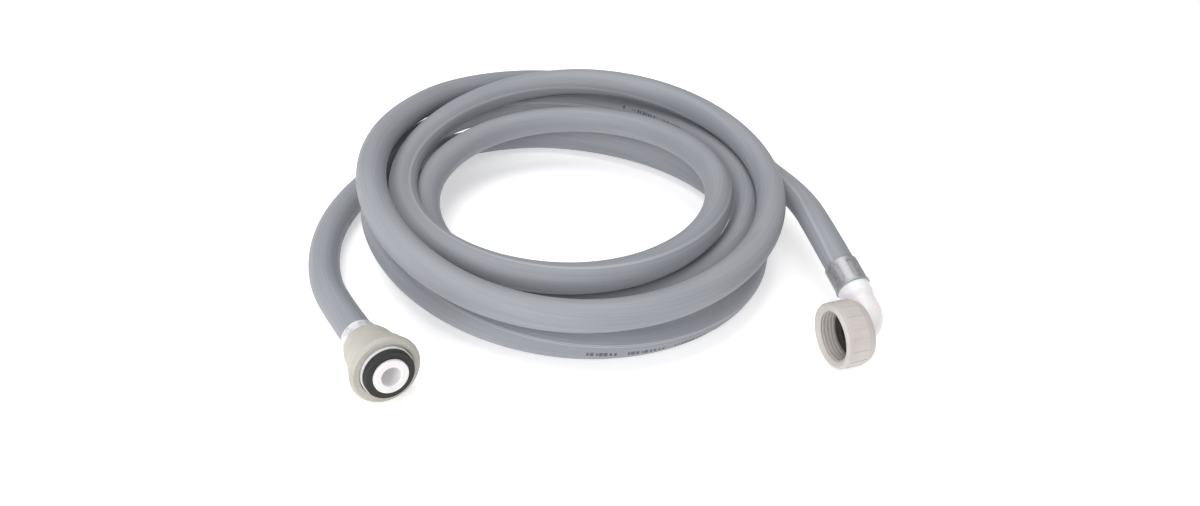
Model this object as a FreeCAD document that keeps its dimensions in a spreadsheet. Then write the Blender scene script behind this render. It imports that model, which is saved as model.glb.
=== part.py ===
"""Washing-machine fill hose: a loose coil of reinforced hose with two G3/4 swivel nuts.

Millimetres, +Z up, the hose lying on the plane Z = 0. Each end fitting is drawn about its own
axis, which becomes its body's Z axis, and is then placed at its end of the hose.
"""
import FreeCAD
import Part

import math
import os

import Sketcher

Vector = FreeCAD.Vector

# ---------------------------------------------------------------- driving dimensions
SIZES = [
    # hose
    ("hose_radius", 7.75, "outer cover"),
    ("braid_radius", 6.55, "outside of the yarn braid"),
    ("liner_radius", 6.05, "outside of the inner tube"),
    ("hose_bore", 5.0, "inside of the inner tube"),
    # crimped ferrule, measured from its hose side
    ("ferrule_length", 14.6, "sleeve length"),
    ("ferrule_radius", 8.6, "sleeve outside"),
    ("ferrule_rim", 9.0, "rolled rim next to the fitting"),
    ("ferrule_rim_length", 1.5, "rolled rim length"),
    ("ferrule_lip", 0.6, "inward lip at the rim"),
    ("crimp_width", 2.4, "one crimp mark"),
    ("crimp_depth", 0.35, "one crimp mark"),
    ("crimp_length", 9.0, "one crimp mark"),
    ("crimp_start", 2.4, "hose side to crimp mark"),
    # barbs inside the hose
    ("barb_root", 4.5, "between the barbs"),
    ("barb_tip", 1.2, "hose side of the ferrule to the barb's tip"),
    ("barb_pitch", 3.2, "barb spacing"),
    ("waterway", 3.5, "bore through the barbs"),
    # flange and rubber washer of both fittings
    ("spigot_radius", 8.0, "straight spigot, which passes through its washer"),
    ("spigot_bore", 4.5, "bore of the straight spigot"),
    ("spigot_reach", 4.5, "straight spigot beyond the flange face"),
    ("flange_radius", 11.9, "flange that the nut pulls on"),
    ("flange_length", 3.0, "flange thickness of the straight fitting"),
    ("washer_radius", 11.4, "rubber washer outside"),
    ("washer_length", 3.0, "rubber washer thickness"),
    ("elbow_washer_bore", 5.5, "hole of the elbow's washer"),
    ("edge", 0.4, "small edge break"),
    # G3/4 union thread, cut in both nuts
    ("thread_crest", 12.25, "inside the thread"),
    ("thread_root", 13.2, "bottom of the thread groove"),
    ("thread_pitch", 1.814, "14 turns per inch"),
    ("nut_hole", 9.4, "hole round the neck and the ferrule"),
    # straight fitting, measured from the hose side of its ferrule
    ("neck_radius", 7.6, "neck between ferrule and flange"),
    ("straight_seat", 34.3, "flange face"),
    ("straight_back", 8.55, "back of the nut, slid back"),
    ("straight_mouth", 33.3, "mouth of the nut, slid back"),
    ("straight_thread", 6.8, "mouth to the relief groove"),
    ("straight_depth", 9.0, "mouth to the shoulder that pulls on the flange"),
    ("straight_opening", 12.65, "inside the mouth's edge"),
    ("straight_nut_back", 10.8, "nut radius at its back"),
    ("straight_nut_waist", 12.9, "nut radius before its collar"),
    ("straight_nut_rim", 16.1, "nut radius at its collar"),
    # elbow fitting, measured from the corner of its two axes
    ("elbow_radius", 7.3, "outside of the bent tube"),
    ("elbow_bend", 10.0, "centre-line radius of the bend"),
    ("elbow_leg", 23.4, "corner to ferrule"),
    ("elbow_shoulder", 8.2, "leg next to the ferrule"),
    ("elbow_flange", 2.2, "flange thickness"),
    ("elbow_seat", 12.3, "flange face"),
    ("elbow_back", 7.8, "back of the nut"),
    ("elbow_mouth", 24.1, "mouth of the nut"),
    ("elbow_thread", 8.7, "mouth to the relief groove"),
    ("elbow_depth", 14.1, "mouth to the shoulder that pulls on the flange"),
    ("elbow_opening", 14.6, "inside the mouth's edge"),
    ("elbow_nut_radius", 16.2, "nut radius"),
    ("elbow_nut_back", 12.6, "flat part of the nut's back"),
    ("grip_width", 1.5, "one grip rib"),
    ("grip_height", 0.2, "one grip rib"),
    ("grip_length", 8.0, "one grip rib"),
    ("grip_count", 16, "grip ribs"),
    ("crimp_count", 8, "crimp marks"),
]

# The axis of the coil. The places of the fittings and tails are measured from it.
COIL_AXIS = Vector(-9.41, 6.86, 0)

# Where the two fittings lie. Azimuth is the way a mouth faces, from -Y towards +X.
STRAIGHT_SEAT = Vector(-70.36, -144.44, 16.64)
STRAIGHT_AZIMUTH = 36.8
STRAIGHT_TILT = 9.1
ELBOW_CORNER = Vector(152.96, -83.99, 18.5)
ELBOW_AZIMUTH = -70.0
ELBOW_TILT = -5.0
ELBOW_ROLL = 16.0

# The coil, a quarter turn at a time: how far the hose's centre line is from the coil's axis, and
# how high. Turn angle 0 is at the coil's left, 90 at its back; the hose runs clockwise from above.
COIL_QUARTERS = {
    0: (129.0, 7.8),
    90: (98.2, 8.8),
    180: (102.5, 7.8),
    270: (105.5, 9.3),
    360: (107.9, 21.8),
    450: (108.8, 31.5),
    540: (98.7, 27.8),
    630: (82.6, 14.4),
    720: (81.6, 21.1),
    810: (77.9, 31.6),
    900: (78.1, 38.6),
    990: (85.5, 31.4),
    1080: (95.5, 30.4),
    1170: (103.8, 48.1),
    1260: (105.8, 41.5),
    1350: (112.7, 30.6),
    1440: (110.8, 43.7),
    1530: (131.1, 30.2),
}
COIL_START = 67.5
COIL_END = 1440.0
SECTION_STEP = 22.5
EDGE_SHARE = 0.3

# The two tails, from the coil outwards. Each then runs in along its fitting's axis and ends
# inside the ferrule. The coil's solid takes the first LEAD_CORNERS corners of each.
STRAIGHT_TAIL = [
    Vector(-86.9, 74.6, 7.8),
    Vector(-122.8, 30.3, 7.8),
    Vector(-133.0, -24.8, 7.8),
    Vector(-122.6, -73.5, 8.2),
]
STRAIGHT_RUN_IN = 14.0
ELBOW_TAIL = [
    Vector(-107.8, 44.6, 42.4),
    Vector(-85.9, 92.2, 39.0),
    Vector(-36.8, 128.3, 34.5),
    Vector(26.1, 134.5, 30.0),
    Vector(82.1, 97.0, 26.0),
    Vector(110.9, 50.9, 24.6),
    Vector(126.4, 9.0, 31.3),
]
ELBOW_RUN_IN = 24.0
LEAD_CORNERS = 2
ARC_SHARE = 0.45

DOC = FreeCAD.newDocument("fill_hose")
SHEET = DOC.addObject("Spreadsheet::Sheet", "sizes")
for row, (alias, value, meaning) in enumerate(SIZES, start=1):
    SHEET.set(f"A{row}", str(value))
    SHEET.set(f"B{row}", meaning)
    SHEET.setAlias(f"A{row}", alias)
DOC.recompute()

NODES = []


def size(expression):
    """The value in millimetres of an expression in the sheet's aliases."""
    value = SHEET.evalExpression(expression)
    return float(getattr(value, "Value", value))


def bound(expression):
    """The same expression as other objects of the document have to write it."""
    words = expression.replace("(", " ( ").replace(")", " ) ").split()
    return " ".join(f"sizes.{word}" if word[0].isalpha() else word for word in words)


# ---------------------------------------------------------------- PartDesign helpers
def new_body(label):
    body = DOC.addObject("PartDesign::Body", label)
    body.Label = label
    NODES.append(body)
    return body


def new_sketch(body, label, plane="XZ_Plane", raised=None):
    sketch = body.newObject("Sketcher::SketchObject", f"{body.Label}_{label}")
    origin = [item for item in body.Origin.OriginFeatures if item.Role == plane][0]
    sketch.AttachmentSupport = [(origin, "")]
    sketch.MapMode = "FlatFace"
    if raised:
        sketch.setExpression(".AttachmentOffset.Base.z", bound(raised))
    return sketch


def pin_point(sketch, index, across, along, where=1):
    """Hold one sketch point at a place that the sheet decides."""
    for kind, expression in (("DistanceX", across), ("DistanceY", along)):
        value = size(expression)
        if value:
            place = sketch.addConstraint(Sketcher.Constraint(kind, -1, 1, index, where, value))
            sketch.setExpression(f"Constraints[{place}]", bound(expression))
        else:
            axis = -2 if kind == "DistanceX" else -1
            sketch.addConstraint(Sketcher.Constraint("PointOnObject", index, where, axis))


def outline(body, label, corners, plane="XZ_Plane"):
    """A closed outline of straight lines through corners given as sheet expressions."""
    sketch = new_sketch(body, label, plane)
    places = [Vector(size(across), size(along), 0) for across, along in corners]
    for start, end in zip(places, places[1:] + places[:1]):
        sketch.addGeometry(Part.LineSegment(start, end), False)
    count = len(corners)
    for index in range(count):
        sketch.addConstraint(Sketcher.Constraint("Coincident", index, 2, (index + 1) % count, 1))
    for index, (across, along) in enumerate(corners):
        pin_point(sketch, index, across, along)
    return sketch


def add_feature(body, kind, label, sketch, axis=None, **settings):
    feature = body.newObject(f"PartDesign::{kind}", f"{body.Label}_{label}")
    feature.Profile = sketch
    if axis:
        feature.ReferenceAxis = (sketch, [axis])
    for name, value in settings.items():
        if isinstance(value, str) and name not in ("Mode",):
            feature.setExpression(name, bound(value))
        else:
            setattr(feature, name, value)
    DOC.recompute()
    return feature


def turned(body, label, corners, kind="Revolution", axis="V_Axis"):
    sketch = outline(body, label + "_outline", corners)
    return add_feature(body, kind, label, sketch, axis, Angle=360)


def ring_of(body, label, feature, count, axis):
    """Repeat a feature round the body's own axis."""
    pattern = body.newObject("PartDesign::PolarPattern", f"{body.Label}_{label}")
    pattern.Originals = [feature]
    pattern.Axis = axis
    pattern.Angle = 360
    pattern.setExpression("Occurrences", bound(count))
    body.Tip = pattern
    DOC.recompute()
    return pattern


def origin_axis(body, role="Z_Axis"):
    return ([item for item in body.Origin.OriginFeatures if item.Role == role][0], [""])


# ---------------------------------------------------------------- fittings
def make_ferrule(label):
    """Thin metal sleeve squeezed round the hose end, with crimp marks and a rolled rim."""
    body = new_body(label)
    turned(body, "sleeve", [
        ("hose_radius", "0"),
        ("ferrule_radius", "0"),
        ("ferrule_radius", "ferrule_length - ferrule_rim_length"),
        ("ferrule_rim", "ferrule_length - ferrule_rim_length + edge"),
        ("ferrule_rim", "ferrule_length - edge"),
        ("ferrule_radius", "ferrule_length"),
        ("spigot_radius - edge - edge", "ferrule_length"),
        ("spigot_radius - edge - edge", "ferrule_length - ferrule_lip"),
        ("hose_radius", "ferrule_length - ferrule_lip"),
    ])
    marks = outline(body, "crimp_outline", [
        ("0 - crimp_width / 2", "crimp_start"),
        ("crimp_width / 2", "crimp_start"),
        ("crimp_width / 2", "crimp_start + crimp_length"),
        ("0 - crimp_width / 2", "crimp_start + crimp_length"),
    ])
    # The mark is cut from outside down to the squeezed depth, on the side that the sketch faces.
    marks.setExpression(".AttachmentOffset.Base.z", bound("ferrule_radius - crimp_depth"))
    DOC.recompute()
    crimp = add_feature(body, "Pocket", "crimp", marks, Length="ferrule_radius", Reversed=True)
    ring_of(body, "crimps", crimp, "crimp_count", origin_axis(body))
    return body


def barb_corners(start, count):
    """Saw-tooth outside of the barbs, from the tip inwards to the neck."""
    corners = []
    for index in range(count):
        foot = f"{start} + barb_pitch * {index}"
        corners.append(("barb_root", foot))
        corners.append(("hose_bore", f"{start} + barb_pitch * {index} + barb_pitch * 0.8"))
    return corners


def make_straight_nozzle(label):
    """Moulded tail: barbs in the hose, neck, flange, and the spigot through the washer."""
    body = new_body(label)
    turned(body, "body", [
        ("waterway", "barb_tip"),
        *barb_corners("barb_tip", 3),
        ("barb_root", "barb_tip + barb_pitch * 3"),
        ("barb_root", "ferrule_length - ferrule_lip"),
        ("spigot_radius - edge - edge - edge", "ferrule_length - ferrule_lip"),
        ("spigot_radius - edge - edge - edge", "ferrule_length"),
        ("neck_radius", "ferrule_length"),
        ("neck_radius", "straight_seat - flange_length"),
        ("flange_radius", "straight_seat - flange_length"),
        ("flange_radius", "straight_seat"),
        ("spigot_radius", "straight_seat"),
        ("spigot_radius", "straight_seat + spigot_reach - edge"),
        ("spigot_radius - edge", "straight_seat + spigot_reach"),
        ("spigot_bore + edge", "straight_seat + spigot_reach"),
        ("spigot_bore", "straight_seat + spigot_reach - edge"),
        ("spigot_bore", "straight_seat - flange_length"),
        ("waterway", "straight_seat - flange_length - flange_length"),
    ])
    return body


def make_washer(label, seat, bore):
    """Flat rubber ring against the flange."""
    body = new_body(label)
    turned(body, "ring", [
        (bore, seat),
        ("washer_radius", seat),
        ("washer_radius", f"{seat} + washer_length - edge"),
        ("washer_radius - edge", f"{seat} + washer_length"),
        (bore, f"{seat} + washer_length"),
    ])
    return body


def cut_thread(body, mouth, length):
    """Helical groove of the union thread, running in from the mouth."""
    foot = f"{mouth} - {length} - thread_pitch * 0.5"
    tooth = outline(body, "thread_tooth", [
        ("thread_crest - edge", f"{foot} - thread_pitch * 0.36"),
        ("thread_root", f"{foot} - thread_pitch * 0.08"),
        ("thread_root", f"{foot} + thread_pitch * 0.08"),
        ("thread_crest - edge", f"{foot} + thread_pitch * 0.36"),
    ])
    add_feature(
        body, "SubtractiveHelix", "thread", tooth, "V_Axis", Mode="pitch-height-angle",
        Pitch="thread_pitch", Height=f"{length} + thread_pitch * 1.4", Angle=0,
    )


def nut_inside(back, mouth, opening, thread, depth):
    """Inside outline of a union nut, from its mouth to its back."""
    relief = f"{mouth} - {thread}"
    shoulder = f"{mouth} - {depth}"
    funnel = f"{mouth} - ( {opening} - thread_crest ) * 0.7"
    return [
        (opening, mouth),
        ("thread_crest", funnel),
        ("thread_crest", relief),
        ("thread_root", f"{relief} - edge"),
        ("thread_root", shoulder),
        ("nut_hole", shoulder),
        ("nut_hole", back),
    ]


def make_straight_nut(label):
    """Long-skirted union nut that tapers back over the ferrule."""
    body = new_body(label)
    turned(body, "shell", [
        ("straight_nut_back - edge", "straight_back"),
        ("straight_nut_back", "straight_back + edge"),
        ("straight_nut_back + 1", "straight_back + 4"),
        ("straight_nut_waist", "straight_mouth - 13"),
        ("straight_nut_waist + 0.5", "straight_mouth - 10.8"),
        ("straight_nut_waist + 1.4", "straight_mouth - 9.2"),
        ("straight_nut_waist + 1.8", "straight_mouth - 6.4"),
        ("straight_nut_rim - edge", "straight_mouth - 3.8"),
        ("straight_nut_rim", "straight_mouth - 2.6"),
        ("straight_nut_rim", "straight_mouth - 1.5"),
        ("straight_nut_rim - edge", "straight_mouth - 0.6"),
        ("straight_nut_rim - edge - edge - edge", "straight_mouth"),
        *nut_inside(
            "straight_back", "straight_mouth", "straight_opening", "straight_thread", "straight_depth",
        ),
    ])
    cut_thread(body, "straight_mouth", "straight_thread")
    return body


def make_elbow_nut(label):
    """Short union nut with a rounded back and shallow grip ribs."""
    body = new_body(label)
    turned(body, "shell", [
        ("elbow_nut_back", "elbow_back"),
        ("elbow_nut_back + 1.9", "elbow_back + 0.7"),
        ("elbow_nut_radius - 0.8", "elbow_back + 2.2"),
        ("elbow_nut_radius", "elbow_back + 4.6"),
        ("elbow_nut_radius", "elbow_mouth - 1.2"),
        ("elbow_nut_radius - edge", "elbow_mouth - edge"),
        ("elbow_nut_radius - edge - edge", "elbow_mouth"),
        *nut_inside("elbow_back", "elbow_mouth", "elbow_opening", "elbow_thread", "elbow_depth"),
    ])
    rib = outline(body, "grip_outline", [
        ("0 - grip_width / 2", "elbow_back + 5"),
        ("grip_width / 2", "elbow_back + 5"),
        ("grip_width / 2", "elbow_back + 5 + grip_length"),
        ("0 - grip_width / 2", "elbow_back + 5 + grip_length"),
    ])
    rib.setExpression(".AttachmentOffset.Base.z", bound("elbow_nut_radius - 1"))
    DOC.recompute()
    grip = add_feature(body, "Pad", "grip", rib, Length="1 + grip_height")
    ring_of(body, "grips", grip, "grip_count", origin_axis(body))
    cut_thread(body, "elbow_mouth", "elbow_thread")
    return body


def make_elbow(label):
    """Moulded elbow: flange across Z, bent tube, and a barbed leg along X."""
    body = new_body(label)
    for kind, radius, name in (
        ("AdditivePipe", "elbow_radius", "tube"),
        ("SubtractivePipe", "waterway", "bore"),
    ):
        path = new_sketch(body, f"{name}_path")
        top = Vector(0, size("elbow_seat"), 0)
        bend = size("elbow_bend")
        end = Vector(size("elbow_leg"), 0, 0)
        centre = Vector(bend, bend, 0)
        path.addGeometry(Part.LineSegment(top, Vector(0, bend, 0)), False)
        circle = Part.Circle(centre, Vector(0, 0, 1), bend)
        path.addGeometry(Part.ArcOfCircle(circle, math.pi, 1.5 * math.pi), False)
        path.addGeometry(Part.LineSegment(Vector(bend, 0, 0), end), False)
        path.addConstraint(Sketcher.Constraint("Coincident", 0, 2, 1, 1))
        path.addConstraint(Sketcher.Constraint("Coincident", 1, 2, 2, 1))
        turn = path.addConstraint(Sketcher.Constraint("Radius", 1, bend))
        path.setExpression(f"Constraints[{turn}]", bound("elbow_bend"))
        pin_point(path, 0, "0", "elbow_seat")
        pin_point(path, 0, "0", "elbow_bend", 2)
        pin_point(path, 2, "elbow_bend", "0")
        pin_point(path, 2, "elbow_leg", "0", 2)
        section = new_sketch(body, f"{name}_section", "XY_Plane", "elbow_seat")
        section.addGeometry(Part.Circle(Vector(), Vector(0, 0, 1), size(radius)), False)
        section.addConstraint(Sketcher.Constraint("Coincident", 0, 3, -1, 1))
        ring = section.addConstraint(Sketcher.Constraint("Radius", 0, size(radius)))
        section.setExpression(f"Constraints[{ring}]", bound(radius))
        DOC.recompute()
        pipe = body.newObject(f"PartDesign::{kind}", f"{label}_{name}")
        pipe.Profile = section
        pipe.Spine = path
        DOC.recompute()
        if kind == "AdditivePipe":
            add_elbow_ends(body)
    return body


def add_elbow_ends(body):
    """The flange and the barbed end, turned about the elbow's two axes."""
    turned(body, "flange", [
        ("waterway - edge", "elbow_seat - elbow_flange"),
        ("flange_radius", "elbow_seat - elbow_flange"),
        ("flange_radius", "elbow_seat"),
        ("waterway - edge", "elbow_seat"),
    ])
    far = "elbow_leg + ferrule_length - barb_tip"
    teeth = []
    for index in range(3):
        teeth.append((f"{far} - barb_pitch * {index}", "barb_root"))
        teeth.append((f"{far} - barb_pitch * {index} - barb_pitch * 0.8", "hose_bore"))
    turned(body, "barbs", [
        (far, "waterway"),
        *teeth,
        (f"{far} - barb_pitch * 3", "barb_root"),
        ("elbow_leg + ferrule_lip", "barb_root"),
        ("elbow_leg + ferrule_lip", "spigot_radius - edge - edge - edge"),
        ("elbow_leg", "spigot_radius - edge - edge - edge"),
        ("elbow_leg", "elbow_shoulder"),
        ("elbow_leg - 5", "elbow_shoulder"),
        ("elbow_leg - 9", "elbow_radius - edge"),
        ("elbow_leg - 9", "waterway"),
    ], axis="H_Axis")


# ---------------------------------------------------------------- hose
def facing(azimuth, tilt):
    turn = math.radians(azimuth)
    rise = math.radians(tilt)
    return Vector(
        math.cos(rise) * math.sin(turn), -math.cos(rise) * math.cos(turn), math.sin(rise),
    )


def frame_at(place, along, across):
    """A placement whose Z axis is along and whose X axis is nearest to across."""
    side = along.cross(across).normalize()
    return FreeCAD.Placement(place, FreeCAD.Rotation(side.cross(along), side, along, "ZXY"))


def rounded_route(points):
    """Straight runs joined by tangent arcs as large as the runs allow, as edges, and the radii."""
    edges = []
    radii = []
    reached = points[0]
    for before, corner, after in zip(points, points[1:], points[2:]):
        inward = (before - corner).normalize()
        outward = (after - corner).normalize()
        half_turn = (math.pi - inward.getAngle(outward)) / 2
        trim = ARC_SHARE * min(before.distanceToPoint(corner), corner.distanceToPoint(after))
        radius = trim / math.tan(half_turn)
        radii.append(radius)
        start = corner + inward * trim
        end = corner + outward * trim
        centre = corner + (inward + outward).normalize() * (radius / math.cos(half_turn))
        middle = centre + (corner - centre).normalize() * radius
        edges.append(Part.LineSegment(reached, start).toShape())
        edges.append(Part.Arc(start, middle, end).toShape())
        reached = end
    edges.append(Part.LineSegment(reached, points[-1]).toShape())
    return edges, radii


def swept(wire, radius):
    start = wire.Edges[0]
    heading = start.tangentAt(start.FirstParameter)
    ring = Part.Circle(start.valueAt(start.FirstParameter), heading, radius)
    solid = wire.makePipeShell([Part.Wire(ring.toShape())], True, False)
    expected = math.pi * radius ** 2 * wire.Length
    print(f"  radius {radius:.2f}: volume {solid.Volume:.0f}, section x length {expected:.0f}")
    return solid


def new_piece(label, shape):
    piece = DOC.addObject("Part::Feature", label)
    piece.Label = label
    piece.Shape = shape
    NODES.append(piece)
    return piece


def make_tail(name, wire):
    """Cover, yarn braid and liner of one tail, as three tubes one inside the other."""
    sections = [size(alias) for alias in ("hose_radius", "braid_radius", "liner_radius", "hose_bore")]
    cores = [swept(wire, radius) for radius in sections]
    for layer, outside, inside in zip(("cover", "braid", "liner"), cores, cores[1:]):
        new_piece(f"{name}_{layer}", outside.cut(inside))


def smooth_between(before, start, end, after, share):
    """A smooth value between start and end, which heads for the values on either side."""
    slope = end - before
    bend = 2 * before - 5 * start + 4 * end - after
    twist = 3 * (start - end) + after - before
    return start + 0.5 * share * (slope + share * (bend + share * twist))


def coil_pass(turn):
    """Radius and height of the hose's centre line at a turn angle."""
    quarter = min(int(turn // 90) * 90, 1440)
    share = (turn - quarter) / 90
    angles = [max(quarter - 90, 0), quarter, quarter + 90, min(quarter + 180, 1530)]
    known = [COIL_QUARTERS[angle] for angle in angles]
    return tuple(smooth_between(*[pair[kind] for pair in known], share) for kind in (0, 1))


def coil_place(turn, reach, height):
    angle = math.radians(turn)
    return COIL_AXIS + Vector(-reach * math.cos(angle), reach * math.sin(angle), height)


def coil_section(angle):
    """Outline round all the passes of the hose at one angle, down to the surface it lies on."""
    hose = size("hose_radius")
    turns = range(5)
    passes = [
        coil_pass(angle + 360 * turn) for turn in turns
        if COIL_START <= angle + 360 * turn <= COIL_END
    ]
    near = min(reach for reach, height in passes) - hose
    far = max(reach for reach, height in passes) + hose
    high = max(height for reach, height in passes) + hose
    edge = 2 * hose * EDGE_SHARE
    corners = [
        (near + edge, 0), (far - edge, 0), (far, edge), (far, high - edge),
        (far - edge, high), (near + edge, high), (near, high - edge), (near, edge),
    ]
    places = [coil_place(angle, reach, height) for reach, height in corners]
    return Part.makePolygon(places + places[:1])


def make_coil(leads):
    """One closed solid round the coiled turns, with the start of each tail standing out of it."""
    count = round(360 / SECTION_STEP)
    sections = [coil_section(index * SECTION_STEP) for index in range(count)]
    pieces = []
    for start, end in zip(sections, sections[1:] + sections[:1]):
        pieces.append(Part.makeLoft([start, end], True, True))
    ring = pieces[0].fuse(pieces[1:])
    for lead in leads:
        ring = ring.fuse(swept(lead, size("hose_radius")))
    return new_piece("hose_coil", ring.removeSplitter())


# ---------------------------------------------------------------- assembly
straight_axis = facing(STRAIGHT_AZIMUTH, STRAIGHT_TILT)
straight_exit = COIL_AXIS + STRAIGHT_SEAT - straight_axis * size("straight_seat")
straight_frame = frame_at(straight_exit, straight_axis, Vector(1, 0, 0))

elbow_axis = facing(ELBOW_AZIMUTH, ELBOW_TILT)
level = Vector(0, 0, 1).cross(elbow_axis).normalize()
roll = math.radians(ELBOW_ROLL)
leg_axis = elbow_axis.cross(level) * math.sin(roll) - level * math.cos(roll)
elbow_corner = COIL_AXIS + ELBOW_CORNER
elbow_frame = frame_at(elbow_corner, elbow_axis, leg_axis)
elbow_exit = elbow_corner + leg_axis * (size("elbow_leg") + size("ferrule_length"))
elbow_ferrule_frame = frame_at(elbow_exit, -leg_axis, elbow_axis)

make_ferrule("straight_ferrule").Placement = straight_frame
make_straight_nozzle("straight_nozzle").Placement = straight_frame
make_washer("straight_washer", "straight_seat", "spigot_radius").Placement = straight_frame
make_straight_nut("straight_nut").Placement = straight_frame
make_ferrule("elbow_ferrule").Placement = elbow_ferrule_frame
make_elbow("elbow_spigot").Placement = elbow_frame
make_washer("elbow_washer", "elbow_seat", "elbow_washer_bore").Placement = elbow_frame
make_elbow_nut("elbow_nut").Placement = elbow_frame

inserted = size("ferrule_length") - size("ferrule_lip")
leads = []
for name, points, run_in, coil_end, exit_point, axis in (
    ("straight_tail", STRAIGHT_TAIL, STRAIGHT_RUN_IN, COIL_START, straight_exit, straight_axis),
    ("elbow_tail", ELBOW_TAIL, ELBOW_RUN_IN, COIL_END, elbow_exit, -leg_axis),
):
    route = [coil_place(coil_end, *coil_pass(coil_end))]
    route.extend(COIL_AXIS + point for point in points)
    route.append(exit_point - axis * run_in)
    route.append(exit_point + axis * inserted)
    print(name, "runs in from", route[-2] - COIL_AXIS, "to", route[-1] - COIL_AXIS)
    edges, radii = rounded_route(route)
    lead = Part.Wire(edges[:2 * LEAD_CORNERS])
    tail = Part.Wire(edges[2 * LEAD_CORNERS:])
    print(name, "length", round(tail.Length, 1), "radii", [round(radius) for radius in radii])
    leads.append(lead)
    make_tail(name, tail)
make_coil(leads)

DOC.recompute()
for item in DOC.Objects:
    if set(item.State) & {"Invalid", "Error"}:
        raise RuntimeError(f"{item.Label} failed: {item.State}")
os.makedirs("parts", exist_ok=True)
whole = FreeCAD.BoundBox()
for node in NODES:
    shape = node.Shape
    if shape.isNull() or not shape.isValid():
        raise RuntimeError(f"{node.Label} has no valid shape")
    box = shape.optimalBoundingBox(True, False) if hasattr(shape, "optimalBoundingBox") else shape.BoundBox
    whole.add(box)
    low = (box.XMin, box.YMin, box.ZMin)
    high = (box.XMax, box.YMax, box.ZMax)
    print(node.Label, len(shape.Solids), round(shape.Volume), [round(v, 1) for v in low + high])
    shape.exportStep(f"parts/{node.Label}.step")
print("whole", [round(v, 2) for v in (whole.XMin, whole.YMin, whole.ZMin, whole.XMax, whole.YMax, whole.ZMax)])
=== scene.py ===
"""The looks of a coiled washing-machine fill hose. Metres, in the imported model's own frame."""
import math

import bpy
from mathutils import Matrix, Vector
from mathutils.noise import noise


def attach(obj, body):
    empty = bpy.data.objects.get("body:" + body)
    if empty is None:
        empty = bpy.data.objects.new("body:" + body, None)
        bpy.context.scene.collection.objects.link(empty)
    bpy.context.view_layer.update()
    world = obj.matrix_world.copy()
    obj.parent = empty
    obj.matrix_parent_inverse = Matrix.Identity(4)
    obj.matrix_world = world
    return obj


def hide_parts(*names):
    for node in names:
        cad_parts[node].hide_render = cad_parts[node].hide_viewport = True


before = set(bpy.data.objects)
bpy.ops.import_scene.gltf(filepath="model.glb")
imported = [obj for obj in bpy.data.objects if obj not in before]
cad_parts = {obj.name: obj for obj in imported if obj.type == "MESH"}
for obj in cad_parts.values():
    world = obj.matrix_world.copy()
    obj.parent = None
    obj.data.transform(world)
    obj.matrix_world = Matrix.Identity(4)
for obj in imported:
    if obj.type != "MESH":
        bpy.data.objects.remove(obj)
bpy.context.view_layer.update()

MM = 0.001

# ---------------------------------------------------------------- the hose's route
# Millimetres from the coil's axis: the straight fitting's tail, the coil a quarter turn at a time
# (distance from the axis and height), and the elbow's tail. Both tails are those of the CAD
# source. The coil's turns stay within about 4 mm of the turns that its solid ring stands for.
COIL_AXIS = Vector((-9.41, 6.86, 0.0))
STRAIGHT_TAIL = [
    (-82.37, -128.39, 13.43),
    (-98.93, -106.25, 9.0),
    (-122.6, -73.5, 8.2),
    (-133.0, -24.8, 7.8),
    (-122.8, 30.3, 7.8),
    (-86.9, 74.6, 7.8),
]
ELBOW_TAIL = [
    (-107.8, 44.6, 42.4),
    (-85.9, 92.2, 39.0),
    (-36.8, 128.3, 34.5),
    (26.1, 134.5, 30.0),
    (82.1, 97.0, 26.0),
    (110.9, 50.9, 24.6),
    (126.4, 9.0, 31.3),
    (131.18, -28.5, 35.52),
    (144.53, -62.51, 25.09),
]
COIL_QUARTERS = {
    0: (129.0, 7.8),
    90: (97.4, 8.8),
    180: (102.5, 7.8),
    270: (105.5, 9.3),
    360: (109.8, 24.2),
    450: (106.8, 29.7),
    540: (95.1, 28.7),
    630: (82.6, 14.4),
    720: (83.0, 23.6),
    810: (78.7, 33.2),
    900: (78.1, 38.6),
    990: (85.5, 31.4),
    1080: (95.9, 31.2),
    1170: (103.8, 48.1),
    1260: (105.8, 41.5),
    1350: (112.7, 30.6),
    1440: (110.8, 43.7),
    1530: (131.1, 30.2),
}
COIL_START = 67.5
COIL_END = 1440.0
COIL_STEP = 22.5
CURVE_STEPS = 16

# ---------------------------------------------------------------- the hose's section
HOSE_RADIUS = 7.75
LOWEST_CENTRE = 7.78
FACETS = 44

# Ink marks, in metres along the hose from the straight fitting. The line of marks starts at an
# angle round the hose and twists by so many radians a metre.
PRINT_TURN = -3.74
PRINT_TWIST = 5.9
PRINT_START = 0.553
PRINT_SPACING = 0.45
PRINT_SHARE = 0.16
PRINT_END = 1.2
DASH_STEP = 0.0021
DASH_GROUP = 0.0235
GROUP_SHARE = 0.8
INK_STRENGTH = 0.8

# Two faint moulding ridges, at these angles round the hose, in millimetres and radians.
RIDGE_ANGLES = (0.52, 0.62)
RIDGE_HEIGHT = 0.16
RIDGE_HALF_WIDTH = 0.045
UNEVEN_HEIGHT = 0.06
UNEVEN_STEP = 30

# ---------------------------------------------------------------- camera and light
LENS = 26.54
SENSOR_WIDTH = 36.0
CAMERA_PLACE = Vector((16.3, -422.3, 286.7))
CAMERA_PITCH = 35.3
CAMERA_ROLL = 5.3
FLOOR_SIZE = 6.0
FLOOR_GLOW = 0.4
WORLD_STRENGTH = 0.5
STUDIO_LIGHTS = {
    "overhead": {"place": (-0.35, 0.1, 1.3), "size": 1.2, "energy": 12.0},
    "front_fill": {"place": (-0.35, -1.1, 0.5), "size": 1.0, "energy": 9.0},
}

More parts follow.
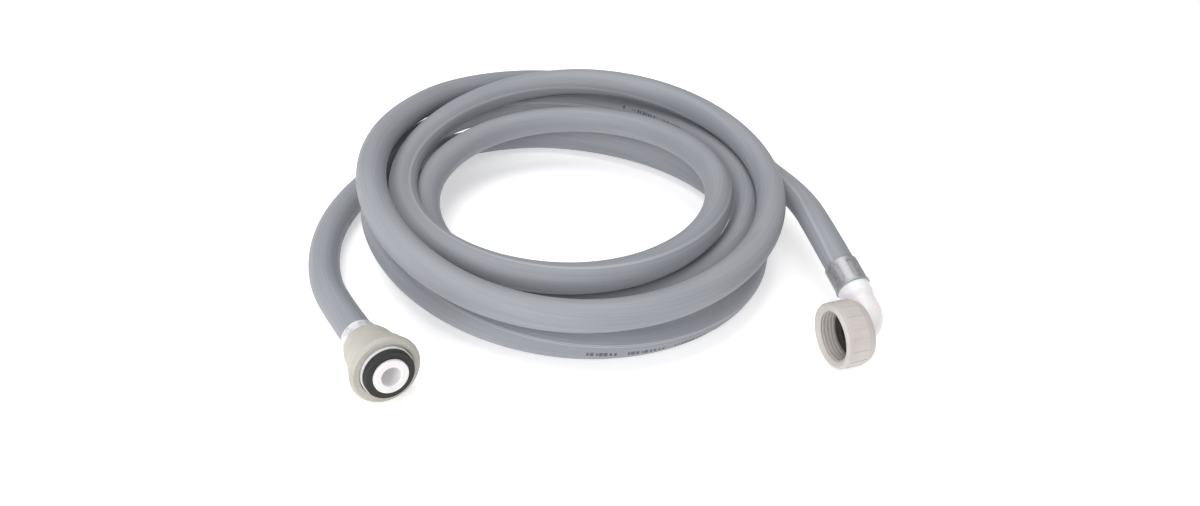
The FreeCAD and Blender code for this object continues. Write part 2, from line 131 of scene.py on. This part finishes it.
# ---------------------------------------------------------------- colours, light and dark
PVC_DARK = (0.215, 0.222, 0.250, 1)
PVC_LIGHT = (0.255, 0.262, 0.288, 1)
EXTRUSION_LINE = (0.42, 0.43, 0.47, 1)
SCUFF = (0.46, 0.46, 0.47, 1)
RIDGE = (0.56, 0.57, 0.60, 1)
INK = (0.045, 0.047, 0.055, 1)
WHITE_PLASTIC = ((0.66, 0.65, 0.655, 1), (0.62, 0.61, 0.615, 1))
CREAM_PLASTIC = ((0.43, 0.413, 0.37, 1), (0.395, 0.38, 0.337, 1))
GREY_PLASTIC = ((0.50, 0.462, 0.445, 1), (0.46, 0.425, 0.405, 1))
BRIGHT_METAL = ((0.86, 0.86, 0.88, 1), (0.72, 0.72, 0.75, 1))
DULL_METAL = ((0.47, 0.47, 0.485, 1), (0.38, 0.38, 0.395, 1))
RUBBER = (0.012, 0.0115, 0.011, 1)
RUBBER_DUST = (0.028, 0.027, 0.025, 1)
# The white plastic's translucency sets its subsurface weight and also scales a painted glow: an
# emission that lightens the plastic though it is no lamp.
MILKY_AND_GLOW = 0.7
MILKY_DEPTH = 0.004
PAINTED_GLOW = 0.16


def smooth_between(before, start, end, after, share):
    slope = end - before
    bend = 2 * before - 5 * start + 4 * end - after
    twist = 3 * (start - end) + after - before
    return start + 0.5 * share * (slope + share * (bend + share * twist))


def coil_pass(turn):
    """Distance from the axis and height of the hose's centre line at a turn angle."""
    quarter = min(int(turn // 90) * 90, 1440)
    share = (turn - quarter) / 90
    angles = [max(quarter - 90, 0), quarter, quarter + 90, min(quarter + 180, 1530)]
    known = [COIL_QUARTERS[angle] for angle in angles]
    return [smooth_between(*[pair[kind] for pair in known], share) for kind in (0, 1)]


def coil_points():
    """Control points of the coiled turns, which stand a little outside the curve they give."""
    outside = 1 / (0.75 + 0.25 * math.cos(math.radians(COIL_STEP)))
    points = []
    for index in range(round((COIL_END - COIL_START) / COIL_STEP) + 1):
        turn = COIL_START + index * COIL_STEP
        reach, height = coil_pass(turn)
        angle = math.radians(turn)
        across = reach * outside
        height = max(height, LOWEST_CENTRE)
        points.append((-across * math.cos(angle), across * math.sin(angle), height))
    return points


def route_curve():
    """The hose's centre line as one open NURBS spline."""
    points = STRAIGHT_TAIL + coil_points() + ELBOW_TAIL
    data = bpy.data.curves.new("hose_route", "CURVE")
    data.dimensions = "3D"
    spline = data.splines.new("NURBS")
    spline.points.add(len(points) - 1)
    for control, point in zip(spline.points, points):
        control.co = (*((COIL_AXIS + Vector(point)) * MM), 1.0)
    spline.order_u = 3
    spline.use_endpoint_u = True
    spline.resolution_u = CURVE_STEPS
    return bpy.data.objects.new("hose_route", data)


def centre_line():
    route = route_curve()
    mesh = bpy.data.meshes.new_from_object(route)
    line = [vertex.co.copy() for vertex in mesh.vertices]
    bpy.data.meshes.remove(mesh)
    bpy.data.curves.remove(route.data)
    return line


# ---------------------------------------------------------------- node helpers
class Paint:
    """A material's node tree, with short calls for the nodes used here."""

    def __init__(self, name, **sockets):
        self.material = bpy.data.materials.new(name)
        self.material.use_nodes = True
        self.tree = self.material.node_tree
        self.shader = self.tree.nodes["Principled BSDF"]
        for socket, value in sockets.items():
            self.shader.inputs[socket.replace("_", " ")].default_value = value

    def node(self, kind, inputs=None, **settings):
        made = self.tree.nodes.new("ShaderNode" + kind)
        for name, value in settings.items():
            setattr(made, name, value)
        for socket, value in (inputs or {}).items():
            self.feed(made.inputs[socket], value)
        return made

    def feed(self, socket, value):
        if isinstance(value, bpy.types.NodeSocket):
            self.tree.links.new(value, socket)
        else:
            socket.default_value = value

    def set(self, socket, value):
        self.feed(self.shader.inputs[socket], value)

    def math(self, operation, *values):
        made = self.node("Math", operation=operation)
        for index, value in enumerate(values):
            self.feed(made.inputs[index], value)
        return made.outputs[0]

    def place(self, scale=(1, 1, 1), source=None):
        """Object position, or another vector, scaled along its three axes."""
        start = source or self.node("TexCoord").outputs["Object"]
        return self.node("Mapping", {"Vector": start, "Scale": scale}).outputs[0]

    def noise(self, where, scale, detail=3.0, roughness=0.5):
        inputs = {"Vector": where, "Scale": scale, "Detail": detail, "Roughness": roughness}
        return self.node("TexNoise", inputs).outputs["Fac"]

    def ramp(self, value, low, high, out_low=0.0, out_high=1.0):
        inputs = {0: value, 1: low, 2: high, 3: out_low, 4: out_high}
        return self.node("MapRange", inputs, interpolation_type="SMOOTHSTEP").outputs[0]

    def mix(self, share, first, second):
        made = self.node("Mix", data_type="RGBA")
        self.feed(made.inputs["Factor"], share)
        self.feed(made.inputs[6], first)
        self.feed(made.inputs[7], second)
        return made.outputs[2]

    def bump(self, height, strength, distance, below=None):
        inputs = {"Height": height, "Strength": strength, "Distance": distance}
        made = self.node("Bump", inputs)
        if below:
            self.feed(made.inputs["Normal"], below)
        return made.outputs[0]


# ---------------------------------------------------------------- materials
def hose_material():
    """Matt grey PVC with lengthwise extrusion lines, faint scuffs, a pale ridge and ink marks."""
    paint = Paint("hose_cover", Roughness=0.5)
    laid = paint.node("Attribute", attribute_name="laid_out").outputs["Vector"]
    around = paint.node("Attribute", attribute_name="around").outputs["Fac"]
    along = paint.node("SeparateXYZ", {0: laid}).outputs[0]

    lines = paint.noise(paint.place((12, 1500, 1500), laid), 1.0, 2.0, 0.6)
    fine = paint.noise(paint.place((60, 3400, 3400), laid), 1.0, 1.0)
    broad = paint.noise(paint.place((9, 60, 60), laid), 1.0, 2.0)
    grain = paint.noise(paint.place((4200, 4200, 4200), laid), 1.0, 2.0)
    scuff_place = paint.noise(paint.place((34, 120, 120), laid), 1.0, 4.0, 0.7)
    scuffs = paint.ramp(scuff_place, 0.62, 0.78)

    colour = paint.mix(paint.ramp(broad, 0.3, 0.7), PVC_DARK, PVC_LIGHT)
    colour = paint.mix(paint.ramp(lines, 0.35, 0.75, 0.0, 0.16), colour, EXTRUSION_LINE)
    colour = paint.mix(paint.math("MULTIPLY", scuffs, 0.16), colour, SCUFF)

    ridge = None
    for angle in RIDGE_ANGLES:
        away = paint.math("ABSOLUTE", paint.math("SUBTRACT", around, angle))
        band = paint.ramp(away, RIDGE_HALF_WIDTH, RIDGE_HALF_WIDTH * 0.4)
        ridge = band if ridge is None else paint.math("MAXIMUM", ridge, band)
    colour = paint.mix(paint.math("MULTIPLY", ridge, 0.35), colour, RIDGE)

    colour = paint.mix(ink_mask(paint, along, around), colour, INK)
    paint.set("Base Color", colour)
    paint.set("Roughness", paint.ramp(broad, 0.2, 0.8, 0.46, 0.58))
    normal = paint.bump(lines, 0.16, 0.0003)
    normal = paint.bump(fine, 0.20, 0.0002, normal)
    normal = paint.bump(grain, 0.10, 0.0001, normal)
    paint.set("Normal", normal)
    return paint.material


def ink_mask(paint, along, around):
    """Groups of plain ink dashes of uneven width in one line along the hose."""
    cell = paint.math("DIVIDE", along, DASH_STEP)
    whole = paint.math("FLOOR", cell)
    inside = paint.math("SUBTRACT", cell, whole)
    chance = paint.node("TexWhiteNoise", {"W": whole}, noise_dimensions="1D").outputs[0]
    width = paint.math("MULTIPLY_ADD", chance, 0.5, 0.35)
    bar = paint.math("LESS_THAN", inside, width)
    tall = paint.math("MULTIPLY_ADD", chance, 0.05, 0.10)
    band = paint.math("LESS_THAN", paint.math("ABSOLUTE", around), tall)
    group = paint.math("FRACT", paint.math("DIVIDE", along, DASH_GROUP))
    grouped = paint.math("LESS_THAN", group, GROUP_SHARE)
    along_print = paint.math("SUBTRACT", along, PRINT_START)
    stretch = paint.math("FRACT", paint.math("DIVIDE", along_print, PRINT_SPACING))
    present = paint.math("LESS_THAN", stretch, PRINT_SHARE)
    mask = bar
    for part in (band, grouped, present, paint.math("LESS_THAN", along, PRINT_END)):
        mask = paint.math("MULTIPLY", mask, part)
    return paint.math("MULTIPLY", mask, INK_STRENGTH)


def moulded_plastic(name, tones, roughness, grain=0.10, milky_and_glow=0.0):
    """Injection-moulded plastic: slight cloudiness, fine texture, a few rubbed places, and for
    translucent plastic a painted glow, an emission that lightens it though it is no lamp.
    """
    # The emission is a painted glow that lightens translucent plastic, though it is no lamp.
    paint = Paint(
        name, Subsurface_Weight=milky_and_glow, Subsurface_Scale=MILKY_DEPTH,
        Emission_Color=(1.0, 0.99, 0.985, 1), Emission_Strength=milky_and_glow * PAINTED_GLOW,
    )
    spot = paint.place()
    cloud = paint.noise(spot, 90.0, 3.0)
    fine = paint.noise(spot, 2600.0, 2.0)
    rub = paint.ramp(paint.noise(spot, 240.0, 5.0, 0.7), 0.60, 0.74)
    shade = paint.mix(paint.ramp(cloud, 0.35, 0.7), *tones)
    paint.set("Base Color", shade)
    rough = paint.ramp(cloud, 0.2, 0.8, roughness - 0.05, roughness + 0.07)
    paint.set("Roughness", paint.math("MULTIPLY_ADD", rub, 0.12, rough))
    normal = paint.bump(fine, grain, 0.00012)
    paint.set("Normal", paint.bump(rub, 0.08, 0.0001, normal))
    return paint.material


def crimp_metal(name, tones):
    """Pressed sheet metal with drawing lines and handling marks."""
    light, dark = tones
    paint = Paint(name, Metallic=1.0)
    spot = paint.place()
    drawn = paint.noise(paint.place((600, 600, 600)), 1.0, 4.0, 0.6)
    marks = paint.ramp(paint.noise(spot, 900.0, 6.0, 0.75), 0.55, 0.7)
    tone = paint.mix(paint.ramp(drawn, 0.3, 0.7), dark, light)
    paint.set("Base Color", paint.mix(paint.math("MULTIPLY", marks, 0.4), tone, dark))
    paint.set("Roughness", paint.ramp(drawn, 0.2, 0.8, 0.5, 0.66))
    paint.set("Normal", paint.bump(drawn, 0.25, 0.0002))
    return paint.material


def washer_rubber():
    """Black rubber with a dusty, slightly rough skin."""
    paint = Paint("washer_rubber")
    spot = paint.place()
    dust = paint.ramp(paint.noise(spot, 500.0, 5.0, 0.7), 0.45, 0.75)
    grain = paint.noise(spot, 3000.0, 3.0)
    paint.set("Base Color", paint.mix(dust, RUBBER, RUBBER_DUST))
    paint.set("Roughness", paint.ramp(dust, 0.0, 1.0, 0.62, 0.8))
    paint.set("Normal", paint.bump(grain, 0.25, 0.0001))
    return paint.material


def floor_material():
    """Plain pale floor with a soft glow."""
    white = (1.0, 1.0, 1.0, 1)
    paint = Paint("studio_floor", Roughness=0.9, Emission_Color=white, Emission_Strength=FLOOR_GLOW)
    cloud = paint.noise(paint.place(), 3.0, 2.0)
    paint.set("Base Color", paint.mix(cloud, (0.86, 0.86, 0.86, 1), (0.88, 0.88, 0.88, 1)))
    return paint.material


# ---------------------------------------------------------------- the hose
def ring_angles():
    """Angles of one ring's vertices, with three more at each ridge."""
    angles = [2 * math.pi * index / FACETS - math.pi for index in range(FACETS)]
    low = min(RIDGE_ANGLES) - 1.6 * RIDGE_HALF_WIDTH
    high = max(RIDGE_ANGLES) + 1.6 * RIDGE_HALF_WIDTH
    angles = [angle for angle in angles if not low < angle < high]
    for ridge in RIDGE_ANGLES:
        angles.extend(ridge + step * RIDGE_HALF_WIDTH for step in (-1, 0, 1))
    return sorted(angles)


def ridge_height(angle):
    nearest = min(abs(angle - ridge) for ridge in RIDGE_ANGLES)
    return RIDGE_HEIGHT * max(0.0, 1 - nearest / RIDGE_HALF_WIDTH)


def hose_mesh(line):
    """A tube round the centre line, which carries its laid-out position for the material."""
    angles = ring_angles()
    heading = (line[1] - line[0]).normalized()
    side = Vector((0, 0, 1)).cross(heading).normalized()
    vertices, laid_out, around = [], [], []
    flat = HOSE_RADIUS * MM
    travelled = 0.0
    for index, centre in enumerate(line):
        before = line[max(index - 1, 0)]
        after = line[min(index + 1, len(line) - 1)]
        heading = (after - before).normalized()
        side = (side - heading * side.dot(heading)).normalized()
        up = heading.cross(side)
        travelled += (centre - before).length if index else 0.0
        turned = PRINT_TURN + PRINT_TWIST * travelled
        for angle in angles:
            spot = Vector((travelled * UNEVEN_STEP, math.cos(angle), math.sin(angle)))
            uneven = UNEVEN_HEIGHT * noise(spot)
            radius = (HOSE_RADIUS + ridge_height(angle) + uneven) * MM
            out = side * math.cos(angle + turned) + up * math.sin(angle + turned)
            vertices.append(centre + out * radius)
            laid_out.append((travelled, flat * math.cos(angle), flat * math.sin(angle)))
            around.append(angle)
    count = len(angles)
    faces = []
    for low in range(0, (len(line) - 1) * count, count):
        high = low + count
        for index in range(count):
            following = (index + 1) % count
            faces.append((low + index, low + following, high + following, high + index))
    faces.append(tuple(range(count))[::-1])
    faces.append(tuple(len(vertices) - count + index for index in range(count)))
    mesh = bpy.data.meshes.new("hose")
    mesh.from_pydata(vertices, [], faces)
    mesh.attributes.new("laid_out", "FLOAT_VECTOR", "POINT").data.foreach_set(
        "vector", [value for place in laid_out for value in place])
    mesh.attributes.new("around", "FLOAT", "POINT").data.foreach_set("value", around)
    mesh.shade_smooth()
    mesh.update()
    return mesh


def add_hose():
    line = centre_line()
    hose = bpy.data.objects.new("hose", hose_mesh(line))
    bpy.context.scene.collection.objects.link(hose)
    hose.data.materials.append(hose_material())
    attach(hose, "hose")
    tails = ("straight_tail", "elbow_tail")
    layers = [f"{tail}_{layer}" for tail in tails for layer in ("cover", "braid", "liner")]
    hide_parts("hose_coil", *layers)


# ---------------------------------------------------------------- fittings
def paint_node(name, material):
    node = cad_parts[name]
    node.data.materials.clear()
    node.data.materials.append(material)


def paint_fittings():
    # The white plastic carries a painted glow from a faint emission.
    white = moulded_plastic("white_plastic", WHITE_PLASTIC, 0.36, 0.05, MILKY_AND_GLOW)
    rubber = washer_rubber()
    paint_node("straight_washer", rubber)
    paint_node("elbow_washer", rubber)
    paint_node("straight_ferrule", crimp_metal("bright_crimp", BRIGHT_METAL))
    paint_node("elbow_ferrule", crimp_metal("dull_crimp", DULL_METAL))
    paint_node("straight_nozzle", white)
    paint_node("elbow_spigot", white)
    paint_node("straight_nut", moulded_plastic("nut_cream", CREAM_PLASTIC, 0.5))
    paint_node("elbow_nut", moulded_plastic("nut_grey", GREY_PLASTIC, 0.5))


# ---------------------------------------------------------------- studio
def add_floor():
    mesh = bpy.data.meshes.new("floor")
    signs = ((-1, -1), (1, -1), (1, 1), (-1, 1))
    corners = [(across * FLOOR_SIZE, along * FLOOR_SIZE, 0) for across, along in signs]
    mesh.from_pydata(corners, [], [(0, 1, 2, 3)])
    floor = bpy.data.objects.new("floor", mesh)
    bpy.context.scene.collection.objects.link(floor)
    floor.data.materials.append(floor_material())


def add_light(name, place, size, energy):
    """A round soft light that faces the origin."""
    data = bpy.data.lights.new(name, "AREA")
    data.shape = "DISK"
    data.size = size
    data.energy = energy
    light = bpy.data.objects.new(name, data)
    light.location = place
    light.rotation_euler = (-Vector(place)).to_track_quat("-Z", "Y").to_euler()
    bpy.context.scene.collection.objects.link(light)


def add_studio():
    world = bpy.data.worlds.new("studio")
    world.use_nodes = True
    background = world.node_tree.nodes["Background"]
    background.inputs["Color"].default_value = (1.0, 1.0, 1.0, 1)
    background.inputs["Strength"].default_value = WORLD_STRENGTH
    scene = bpy.context.scene
    scene.world = world
    scene.view_settings.view_transform = "Standard"
    for name, settings in STUDIO_LIGHTS.items():
        add_light(name, **settings)


def add_camera():
    data = bpy.data.cameras.new("camera")
    data.lens = LENS
    data.sensor_width = SENSOR_WIDTH
    data.sensor_fit = "HORIZONTAL"
    data.clip_start = 0.01
    camera = bpy.data.objects.new("camera", data)
    pitch = Matrix.Rotation(math.radians(90 - CAMERA_PITCH), 4, "X")
    roll = Matrix.Rotation(math.radians(CAMERA_ROLL), 4, "Z")
    place = Matrix.Translation((COIL_AXIS + CAMERA_PLACE) * MM)
    camera.matrix_world = place @ pitch @ roll
    bpy.context.scene.collection.objects.link(camera)
    bpy.context.scene.camera = camera


add_camera()
add_hose()
paint_fittings()
add_floor()
add_studio()
